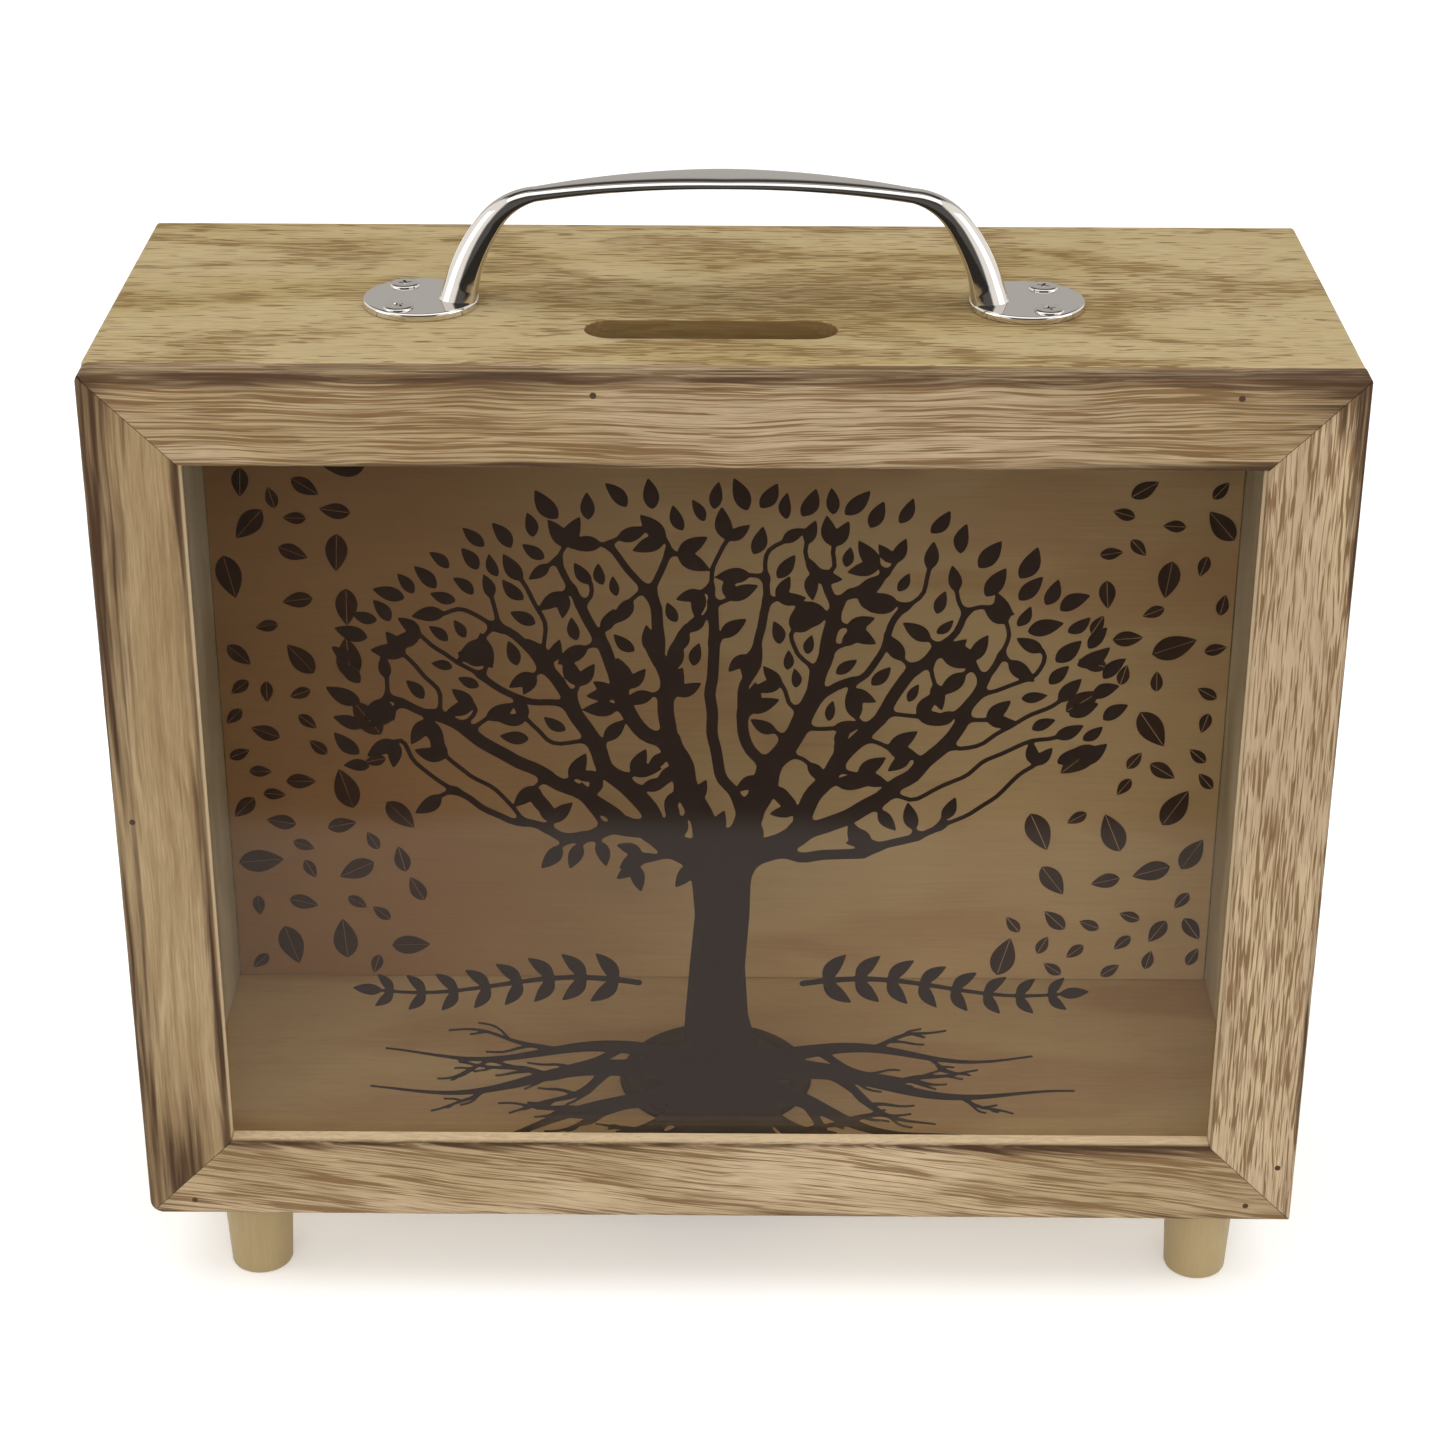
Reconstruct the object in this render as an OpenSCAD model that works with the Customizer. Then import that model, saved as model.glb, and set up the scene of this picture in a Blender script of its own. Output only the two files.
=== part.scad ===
// Wooden money box: a shallow case of thin boards with a mitred, glazed front frame, a bow handle,
// a coin slot in the top, tapered feet and a bung that closes the hole in the floor.
// Millimetres. +Z is up and the glass faces -Y. The origin is on the surface the feet stand on,
// under the middle of the case.

/* [Case] */
// Width of the case, left to right
case_w = 200; // [170:1:260]
// Height of the case, without feet and handle
case_h = 156; // [120:1:220]
// Depth of the case, with the front frame
case_d = 78; // [70:1:120]
// Thickness of the case boards
board_t = 6; // [5:0.5:9]

/* [Front frame] */
// Width of the frame's face
rail_w = 15; // [12:0.5:22]
// Thickness of the frame
frame_t = 6; // [6:0.5:9]
// Width of the rebate that holds the glass
rebate_w = 4; // [2:0.5:6]
// Thickness of the glass, which is the rebate's depth
glass_t = 2; // [1.5:0.5:3]
// Gap between the glass and the rebate's walls
glass_gap = 0.3; // [0.1:0.1:1]

/* [Coin slot] */
// Length of the slot
slot_l = 40.5; // [32:0.5:60]
// Width of the slot
slot_w = 9; // [5:0.5:12]
// How far the slot sits from the middle, towards the right
slot_shift = -2; // [-20:0.5:20]
// Distance of the slot's centreline from the front of the case
slot_y = 22.7; // [18:0.1:26]

/* [Handle] */
// Distance between the centres of the two foot discs
handle_pitch = 99; // [99:1:120]
// Distance of the handle from the front of the case
handle_y = 34.6; // [34:0.1:50]
// Diameter of a foot disc
disc_d = 19; // [18:0.5:22]
// Thickness of a foot disc
disc_t = 1.3; // [1.2:0.1:2.5]
// Height of the grip's middle line above the case
grip_rise = 21.3; // [20:0.1:26]
// Width of the grip at its middle
grip_w = 9; // [7:0.2:12]
// Thickness of the grip at its middle
grip_t = 1.5; // [1.2:0.1:2]

/* [Handle screws] */
// Diameter of a screw head
head_d = 5; // [4:0.1:5.2]
// Diameter of a screw's shank
shank_d = 2.2; // [1.8:0.1:2.6]
// Length of a screw below the disc's top face
screw_l = 6.6; // [5:0.1:7]
// How far the screws sit from a disc's centre, away from the leg
screw_out = 3.1; // [2.6:0.1:3.4]
// Distance between a disc's two screws
screw_pitch = 11.5; // [10:0.1:12]

/* [Feet] */
// Height of a foot
foot_h = 18; // [17:0.5:30]
// Diameter of a foot where it meets the floor board
foot_top_d = 12.6; // [10:0.1:16]
// Diameter of a foot where it stands
foot_low_d = 10.9; // [8:0.1:14]
// Distance of a foot's centre from the middle of the four feet, left to right
foot_x = 84.5; // [60:0.5:86]
// How far the four feet are glued off the middle, towards the right
foot_shift = 1.5; // [-2:0.5:2]
// Distance of a foot's centre from the front or back of the case
foot_inset = 12.5; // [12.5:0.5:16]

/* [Bung] */
// Diameter of the hole in the floor board
hole_d = 35; // [25:1:40]
// How far the hole sits from the middle, towards the right
hole_shift = -1; // [-10:0.5:10]
// Distance of the hole's centre from the front of the case
hole_y = 37; // [34:0.5:44]
// Diameter of the bung's flange, under the floor
flange_d = 40; // [38:1:46]

/* [Nails] */
// Diameter of a nail's shank
nail_d = 1.2; // [1:0.1:1.6]
// Diameter of a nail's head
nail_head_d = 1.9; // [1.6:0.1:2.4]
// Length of a nail
nail_l = 16; // [12:1:20]

/* [Hidden] */
$fn = 64;

// Small gap between a shank or spigot and the hole it sits in
fit = 0.02;
// Overlap that keeps a cut from leaving a skin
eps = 0.5;

front_y = -case_d / 2;
back_y = case_d / 2;
floor_z = foot_h;
top_z = foot_h + case_h;
boards_y = front_y + frame_t;
boards_d = case_d - frame_t;
inner_h = case_h - 2 * board_t;
inner_w = case_w - 2 * board_t;

// Foot spigot, glued into the floor board
spigot_d = 6;
spigot_h = 4;
// Rounding at the foot's lowest edge
foot_round = 0.6;

// Screw head: height of its cone and of its dome, and the cross recess
head_cone_h = 1.2;
head_dome_h = 0.45;
recess_w = 0.7;
recess_l = 2.6;
recess_depth = 0.9;

// Bung: flange thickness, lip that stands above the floor, rib clearance and the finger hollow below
flange_t = 1.8;
lip_h = 1;
rib_gap = 0.05;
rib_h = 1.2;
waist_depth = 0.5;
hollow_d = 29;
hollow_h = 5;

// Handle path, from the middle outwards: arc radii and the slope at each arc's end
arch_r = 175;
arch_slope = 10;
shoulder_r = 11.5;
shoulder_slope = 54;
leg_r = 32;
leg_slope = 75;
// Height at which the leg's last section sits, inside the disc
root_z = 0.5;
// Section width, thickness and outer squareness at the middle and at the end of each stretch
section_w = [grip_w, 4.6, 5.4, 7.2, 8.4];
section_t = [grip_t, 1.9, 4, 5.7, 6.5];
section_n = [3.2, 2.6, 2.4, 2.4, 2.5];
// How the grip narrows from its middle: 1 evenly, more keeps it broad for longer
grip_taper = 1.3;
// The inner side is nearly flat: its squareness, and its share of the thickness
inner_n = 2.2;
inner_share = 0.16;
// Steps along each stretch, and sides round the section
stretch_steps = [8, 8, 6, 5];
section_sides = 24;

// Nail places on the frame's face, as x and height above the case's lowest edge
nail_edge = 3;
frame_brad_places = [
    [-0.1 * case_w, case_h - nail_edge],
    [0.4 * case_w, case_h - nail_edge],
    [-case_w / 2 + nail_edge, case_h / 2],
    [case_w / 2 - nail_edge, 11],
    [-case_w / 2 + 8, nail_edge],
    [case_w / 2 - 8, nail_edge]
];
side_nail_z = [floor_z + 0.3 * case_h, floor_z + 0.75 * case_h];
side_nail_y = [-18, 20];
back_nail_x = 0.25 * case_w;

wood = "burlywood";
frame_wood = "tan";
foot_wood = "darkkhaki";
chrome = "silver";
steel = "dimgray";

// ---- Handle path ----

// End of an arc of radius r from point p, as the slope goes from a0 to a1
function arc_end(p, r, a0, a1) = p + r * [sin(a1) - sin(a0), cos(a1) - cos(a0)];

p_top = [0, grip_rise];
p_arch = arc_end(p_top, arch_r, 0, arch_slope);
p_shoulder = arc_end(p_arch, shoulder_r, arch_slope, shoulder_slope);
p_leg = arc_end(p_shoulder, leg_r, shoulder_slope, leg_slope);
leg_run = (p_leg[1] - root_z) / sin(leg_slope);
// The legs move out or in with the discs, and the arch takes up the difference
reach = (handle_pitch - 99) / 2;

// Stations [x, z, tilt, width, thickness, squareness] along one half, from the middle outwards. The
// tilt follows the path's slope, and turns the last section level so that it lies inside the disc.
function mix_at(list, k, f) = list[k] + (list[k + 1] - list[k]) * f;
function station(p, a, k, f) = [
    p[0] + reach * min(1, p[0] / p_arch[0]), p[1], a,
    mix_at(section_w, k, k == 0 ? f ^ grip_taper : f), mix_at(section_t, k, f), mix_at(section_n, k, f)
];
function arc_stations(p, r, a0, a1, k) = [
    for (i = [0 : stretch_steps[k] - 1])
        let (f = i / stretch_steps[k], a = a0 + (a1 - a0) * f) station(arc_end(p, r, a0, a), a, k, f)
];
half_path = concat(
    arc_stations(p_top, arch_r, 0, arch_slope, 0),
    arc_stations(p_arch, shoulder_r, arch_slope, shoulder_slope, 1),
    arc_stations(p_shoulder, leg_r, shoulder_slope, leg_slope, 2),
    [for (i = [0 : stretch_steps[3]])
        let (f = i / stretch_steps[3], tilt = leg_slope + (90 - leg_slope) * f)
            station(p_leg + f * leg_run * [cos(leg_slope), -sin(leg_slope)], tilt, 3, f)]
);
last = len(half_path) - 1;
path = concat(
    [for (i = [last : -1 : 1]) let (s = half_path[i]) [-s[0], s[1], -s[2], s[3], s[4], s[5]]],
    half_path
);

// Point j of a station's section: half a superellipse outside its widest line, and another inside
function bulge(v, n) = sign(v) * pow(abs(v), 2 / n);
function section_point(s, j) =
    let (a = 360 * j / section_sides,
         outer = sin(a) > -0.001,
         n = outer ? s[5] : inner_n,
         across = s[3] / 2 * bulge(cos(a), n),
         depth = (outer ? 1 - inner_share : inner_share) * bulge(sin(a), n),
         out = s[4] * (depth - 0.5 + inner_share))
    [s[0] + out * sin(s[2]), across, s[1] + out * cos(s[2])];

// ---- Boards ----

module top_board() {
    color(wood) difference() {
        translate([-case_w / 2, boards_y, top_z - board_t]) cube([case_w, boards_d, board_t]);
        coin_slot_cut();
        each_handle_screw() screw_cut();
        nail_holes();
    }
}

module coin_slot_cut() {
    straight = slot_l - slot_w;
    translate([slot_shift, front_y + slot_y, top_z - board_t - eps]) {
        translate([-straight / 2, -slot_w / 2, 0]) cube([straight, slot_w, board_t + 2 * eps]);
        for (side = [-1, 1])
            translate([side * straight / 2, 0, 0]) cylinder(h = board_t + 2 * eps, d = slot_w);
    }
}

module bottom_board() {
    color(wood) difference() {
        translate([-case_w / 2, boards_y, floor_z]) cube([case_w, boards_d, board_t]);
        translate([hole_shift, front_y + hole_y, floor_z - eps])
            cylinder(h = board_t + 2 * eps, d = hole_d);
        for (sx = [-1, 1], sy = [-1, 1])
            translate(foot_place(sx, sy) + [0, 0, foot_h - eps])
                cylinder(h = spigot_h + fit + eps, d = spigot_d + 2 * fit);
        nail_holes();
    }
}

module side_board(side) {
    color(wood) difference() {
        translate([side > 0 ? case_w / 2 - board_t : -case_w / 2, boards_y, floor_z + board_t])
            cube([board_t, boards_d, inner_h]);
        nail_holes();
    }
}

module left_side_board() { side_board(-1); }

module right_side_board() { side_board(1); }

module back_board() {
    color(wood) difference() {
        translate([-inner_w / 2, back_y - board_t, floor_z + board_t])
            cube([inner_w, board_t, inner_h]);
        nail_holes();
    }
}

// ---- Front frame ----

// One rail, with its outer edge up along X and its face towards -Y, mitred at both ends
module mitred_rail(length) {
    lip = frame_t - glass_t;
    intersection() {
        translate([-length / 2, 0, 0]) rotate([90, 0, 90]) linear_extrude(length) polygon([
            [0, 0], [0, -rail_w], [lip, -rail_w], [lip, rebate_w - rail_w],
            [frame_t, rebate_w - rail_w], [frame_t, 0]
        ]);
        translate([0, frame_t, 0]) rotate([90, 0, 0]) linear_extrude(frame_t) polygon([
            [-length / 2, 0], [rail_w - length / 2, -rail_w],
            [length / 2 - rail_w, -rail_w], [length / 2, 0]
        ]);
    }
}

module frame_side(turn, length, reach_out) {
    color(frame_wood) difference() {
        translate([0, front_y, floor_z + case_h / 2]) rotate([0, turn, 0])
            translate([0, 0, reach_out]) mitred_rail(length);
        nail_holes();
    }
}

module frame_top_rail() { frame_side(0, case_w, case_h / 2); }

module frame_right_stile() { frame_side(90, case_h, case_w / 2); }

module frame_bottom_rail() { frame_side(180, case_w, case_h / 2); }

module frame_left_stile() { frame_side(-90, case_h, case_w / 2); }

module glass_pane() {
    pane_w = case_w - 2 * (rail_w - rebate_w + glass_gap);
    pane_h = case_h - 2 * (rail_w - rebate_w + glass_gap);
    color("lightcyan", 0.35)
        translate([-pane_w / 2, front_y + frame_t - glass_t, floor_z + (case_h - pane_h) / 2])
            cube([pane_w, glass_t, pane_h]);
}

// ---- Feet ----

function foot_place(sx, sy) = [foot_shift + sx * foot_x, sy * (case_d / 2 - foot_inset), 0];

module foot(sx, sy) {
    low_r = foot_low_d / 2;
    color(foot_wood) translate(foot_place(sx, sy)) {
        rotate_extrude() polygon([
            [0, 0], [low_r - foot_round, 0], [low_r - foot_round * 0.3, foot_round * 0.3],
            [low_r, foot_round], [foot_top_d / 2, foot_h], [0, foot_h]
        ]);
        translate([0, 0, foot_h - eps]) cylinder(h = spigot_h + eps, d = spigot_d);
    }
}

module foot_front_left() { foot(-1, -1); }

module foot_front_right() { foot(1, -1); }

module foot_back_left() { foot(-1, 1); }

module foot_back_right() { foot(1, 1); }

// ---- Handle ----

module bow() {
    rings = len(path);
    sides = section_sides;
    points = [for (s = path) for (j = [0 : sides - 1]) section_point(s, j)];
    skin = [
        for (i = [0 : rings - 2]) for (j = [0 : sides - 1])
            let (a = i * sides + j, b = i * sides + (j + 1) % sides)
                each [[a, b + sides, b], [a, a + sides, b + sides]]
    ];
    caps = [
        [for (j = [0 : sides - 1]) j],
        [for (j = [sides - 1 : -1 : 0]) (rings - 1) * sides + j]
    ];
    polyhedron(points, concat(skin, caps), convexity = 6);
}

module foot_disc() {
    edge = 0.5;
    r = disc_d / 2;
    rotate_extrude() polygon([
        [0, 0], [r, 0], [r, disc_t - edge], [r - edge * 0.3, disc_t - edge * 0.3],
        [r - edge, disc_t], [0, disc_t]
    ]);
}

module handle() {
    color(chrome) difference() {
        translate([0, front_y + handle_y, top_z]) {
            bow();
            for (side = [-1, 1]) translate([side * handle_pitch / 2, 0, 0]) foot_disc();
        }
        each_handle_screw() screw_cut();
    }
}

// ---- Handle screws ----

function screw_place(sx, sy) = [
    sx * (handle_pitch / 2 + screw_out), front_y + handle_y + sy * screw_pitch / 2, top_z + disc_t
];

module each_handle_screw() {
    for (sx = [-1, 1], sy = [-1, 1]) translate(screw_place(sx, sy)) children();
}

// The hole for one screw, from its place on the disc's top face downwards
module screw_cut() {
    translate([0, 0, -head_cone_h - fit])
        cylinder(h = head_cone_h, d1 = shank_d + 2 * fit, d2 = head_d + 2 * fit);
    translate([0, 0, -2 * fit]) cylinder(h = eps, d = head_d + 2 * fit);
    translate([0, 0, -screw_l - fit]) cylinder(h = screw_l, d = shank_d + 2 * fit);
}

module handle_screw(sx, sy, turn) {
    r = head_d / 2;
    color(chrome) translate(screw_place(sx, sy)) rotate([0, 0, turn]) difference() {
        rotate_extrude() polygon([
            [0, -screw_l], [shank_d / 2 - 0.6, -screw_l], [shank_d / 2, 1 - screw_l],
            [shank_d / 2, -head_cone_h], [r, 0], [r * 0.8, head_dome_h * 0.45],
            [r * 0.45, head_dome_h * 0.85], [0, head_dome_h]
        ]);
        for (arm = [0, 90])
            rotate([0, 0, arm]) translate([-recess_l / 2, -recess_w / 2, head_dome_h - recess_depth])
                cube([recess_l, recess_w, recess_depth + eps]);
    }
}

module handle_screw_left_front() { handle_screw(-1, -1, 40); }

module handle_screw_left_back() { handle_screw(-1, 1, 15); }

module handle_screw_right_front() { handle_screw(1, -1, 20); }

module handle_screw_right_back() { handle_screw(1, 1, 70); }

// ---- Bung ----

module coin_bung() {
    rib_r = hole_d / 2 - rib_gap;
    waist_r = rib_r - waist_depth;
    neck_h = board_t + lip_h;
    flange_r = flange_d / 2;
    color("saddlebrown") translate([hole_shift, front_y + hole_y, floor_z]) rotate_extrude() polygon([
        [0, hollow_h - flange_t], [hollow_d / 2, hollow_h - flange_t], [hollow_d / 2, -flange_t],
        [flange_r - 0.6, -flange_t], [flange_r, 0.6 - flange_t], [flange_r, 0],
        [rib_r, 0], [rib_r, rib_h], [waist_r, rib_h + waist_depth],
        [waist_r, neck_h - 2 * rib_h - waist_depth], [rib_r, neck_h - 2 * rib_h],
        [rib_r, neck_h - rib_h * 0.7], [rib_r - rib_h, neck_h], [0, neck_h]
    ]);
}

// ---- Nails ----

// A nail whose head is flush with z = 0 and which points down, or its hole where grow is above 0
module nail(grow = 0) {
    head_h = 0.5;
    translate([0, 0, -nail_l - grow]) cylinder(h = nail_l + grow, r = nail_d / 2 + grow);
    translate([0, 0, -head_h - grow])
        cylinder(h = head_h + grow + (grow > 0 ? eps : 0), r = nail_head_d / 2 + grow);
}

module each_frame_brad() {
    for (place = frame_brad_places)
        translate([place[0], front_y, floor_z + place[1]]) rotate([90, 0, 0]) children();
}

module each_case_nail() {
    for (sx = [-1, 1]) {
        for (y = side_nail_y)
            translate([sx * (case_w - board_t) / 2, y, floor_z]) rotate([180, 0, 0]) children();
        for (z = side_nail_z)
            translate([sx * case_w / 2, back_y - board_t / 2, z]) rotate([0, sx * 90, 0]) children();
        translate([sx * back_nail_x, back_y - board_t / 2, floor_z]) rotate([180, 0, 0]) children();
    }
}

module nail_holes() {
    each_frame_brad() nail(fit);
    each_case_nail() nail(fit);
}

module frame_brads() {
    color(steel) each_frame_brad() nail();
}

module case_nails() {
    color(steel) each_case_nail() nail();
}

top_board();
bottom_board();
left_side_board();
right_side_board();
back_board();
frame_top_rail();
frame_bottom_rail();
frame_left_stile();
frame_right_stile();
glass_pane();
foot_front_left();
foot_front_right();
foot_back_left();
foot_back_right();
handle();
handle_screw_left_front();
handle_screw_left_back();
handle_screw_right_front();
handle_screw_right_back();
coin_bung();
frame_brads();
case_nails();
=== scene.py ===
import random
from math import atan2, copysign, cos, dist, exp, hypot, pi, radians, sin

import bmesh
import bpy
import numpy as np
from mathutils import Matrix, Vector, noise


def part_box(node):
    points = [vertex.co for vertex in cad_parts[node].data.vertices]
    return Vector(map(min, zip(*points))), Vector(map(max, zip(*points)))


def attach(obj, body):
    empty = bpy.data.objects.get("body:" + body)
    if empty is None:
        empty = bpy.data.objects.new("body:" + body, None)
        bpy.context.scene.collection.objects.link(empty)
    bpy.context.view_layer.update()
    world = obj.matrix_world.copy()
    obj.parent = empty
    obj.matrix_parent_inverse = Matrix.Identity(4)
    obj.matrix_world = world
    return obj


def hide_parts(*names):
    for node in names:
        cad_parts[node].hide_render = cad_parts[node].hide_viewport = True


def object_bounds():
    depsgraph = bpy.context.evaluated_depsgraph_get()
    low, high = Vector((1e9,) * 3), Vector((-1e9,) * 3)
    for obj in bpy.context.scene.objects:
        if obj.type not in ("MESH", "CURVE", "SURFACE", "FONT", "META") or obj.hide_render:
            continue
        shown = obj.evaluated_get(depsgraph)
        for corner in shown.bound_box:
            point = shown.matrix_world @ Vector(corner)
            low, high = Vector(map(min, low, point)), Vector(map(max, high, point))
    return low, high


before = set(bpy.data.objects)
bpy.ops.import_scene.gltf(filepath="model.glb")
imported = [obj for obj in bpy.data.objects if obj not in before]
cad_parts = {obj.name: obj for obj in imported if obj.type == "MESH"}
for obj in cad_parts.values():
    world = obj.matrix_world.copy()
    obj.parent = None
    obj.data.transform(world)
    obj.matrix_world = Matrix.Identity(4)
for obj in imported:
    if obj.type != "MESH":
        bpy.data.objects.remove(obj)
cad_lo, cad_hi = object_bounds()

MM = 0.001
scene = bpy.context.scene

# ---- Sizes that the CAD's boxes don't give, in metres, as in the CAD source ----

SLOT_LENGTH = 40.5 * MM
SLOT_WIDTH = 9.0 * MM
SLOT_SHIFT = -2.0 * MM
SLOT_FROM_FRONT = 22.7 * MM
HOLE_RADIUS = 17.5 * MM
GLASS_T = 2.0 * MM
MITRE_GAP = 0.04 * MM
REBATE_W = 4.0 * MM
FLANGE_T = 1.8 * MM

# ---- Node helpers ----


def srgb(r, g, b):
    """Linear RGBA from 8-bit display values."""
    return tuple(
        v / 255 / 12.92 if v <= 10 else ((v / 255 + 0.055) / 1.055) ** 2.4 for v in (r, g, b)
    ) + (1.0,)


def scaled(colour, factor):
    return tuple(c * factor for c in colour[:3]) + (1.0,)


class Shade:
    """The nodes of one new material or world. Apart from node and surface, every method gives an
    output socket."""

    def __init__(self, name, kind="materials"):
        self.owner = getattr(bpy.data, kind).new(name)
        self.owner.use_nodes = True
        self.tree = self.owner.node_tree
        self.tree.nodes.clear()

    def node(self, kind, inputs=(), **props):
        n = self.tree.nodes.new("ShaderNode" + kind)
        for key, value in props.items():
            setattr(n, key, value)
        for key, value in dict(inputs).items():
            if isinstance(value, bpy.types.NodeSocket):
                self.tree.links.new(value, n.inputs[key])
            else:
                n.inputs[key].default_value = value
        return n

    def add(self, kind, inputs=(), out=0, **props):
        return self.node(kind, inputs, **props).outputs[out]

    def math(self, op, a, b=0.0, c=0.0, clamp=False):
        return self.add("Math", {0: a, 1: b, 2: c}, operation=op, use_clamp=clamp)

    def mul(self, a, b):
        return self.math("MULTIPLY", a, b)

    def plus(self, a, b):
        return self.math("ADD", a, b)

    def mad(self, a, k, c):
        """a * k + c"""
        return self.math("MULTIPLY_ADD", a, k, c)

    def step(self, value, low, high):
        """0 to 1 as value goes smoothly from low to high."""
        return self.add("MapRange", {0: value, 1: low, 2: high, 3: 0.0, 4: 1.0},
                        interpolation_type="SMOOTHSTEP")

    def vec(self, x, y, z=0.0):
        return self.add("CombineXYZ", {0: x, 1: y, 2: z})

    def parts(self, vector):
        return self.node("SeparateXYZ", {0: vector}).outputs

    def noise(self, vector, detail=2.0, rough=0.5):
        values = {"Vector": vector, "Scale": 1.0, "Detail": detail, "Roughness": rough}
        return self.add("TexNoise", values, noise_dimensions="3D")

    def mix(self, factor, a, b, mode="MIX"):
        return self.add("Mix", {0: factor, 6: a, 7: b}, 2, data_type="RGBA", blend_type=mode)

    def mixf(self, factor, a, b):
        return self.add("Mix", {0: factor, 2: a, 3: b}, data_type="FLOAT")

    def millimetres(self):
        """The object's own coordinates, in millimetres."""
        coords = self.add("TexCoord", out="Object")
        return self.add("VectorMath", {0: coords, 1: (1000.0,) * 3}, operation="MULTIPLY")

    def cloud(self, scale, detail):
        """Noise whose features are about 1 / scale mm across."""
        return self.noise(
            self.vec(*(self.mul(part, scale) for part in self.parts(self.millimetres()))), detail
        )

    def attribute(self, name):
        return self.add("Attribute", out="Fac", attribute_name=name)

    def bump(self, height, strength, distance):
        return self.add("Bump", {"Strength": strength, "Distance": distance, "Height": height})

    def surface(self, shader, kind="Material"):
        self.node("Output" + kind, {"Surface": shader})
        return self.owner

    def principled(self, **inputs):
        return self.add("BsdfPrincipled", {k.replace("_", " "): v for k, v in inputs.items()})


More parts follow.
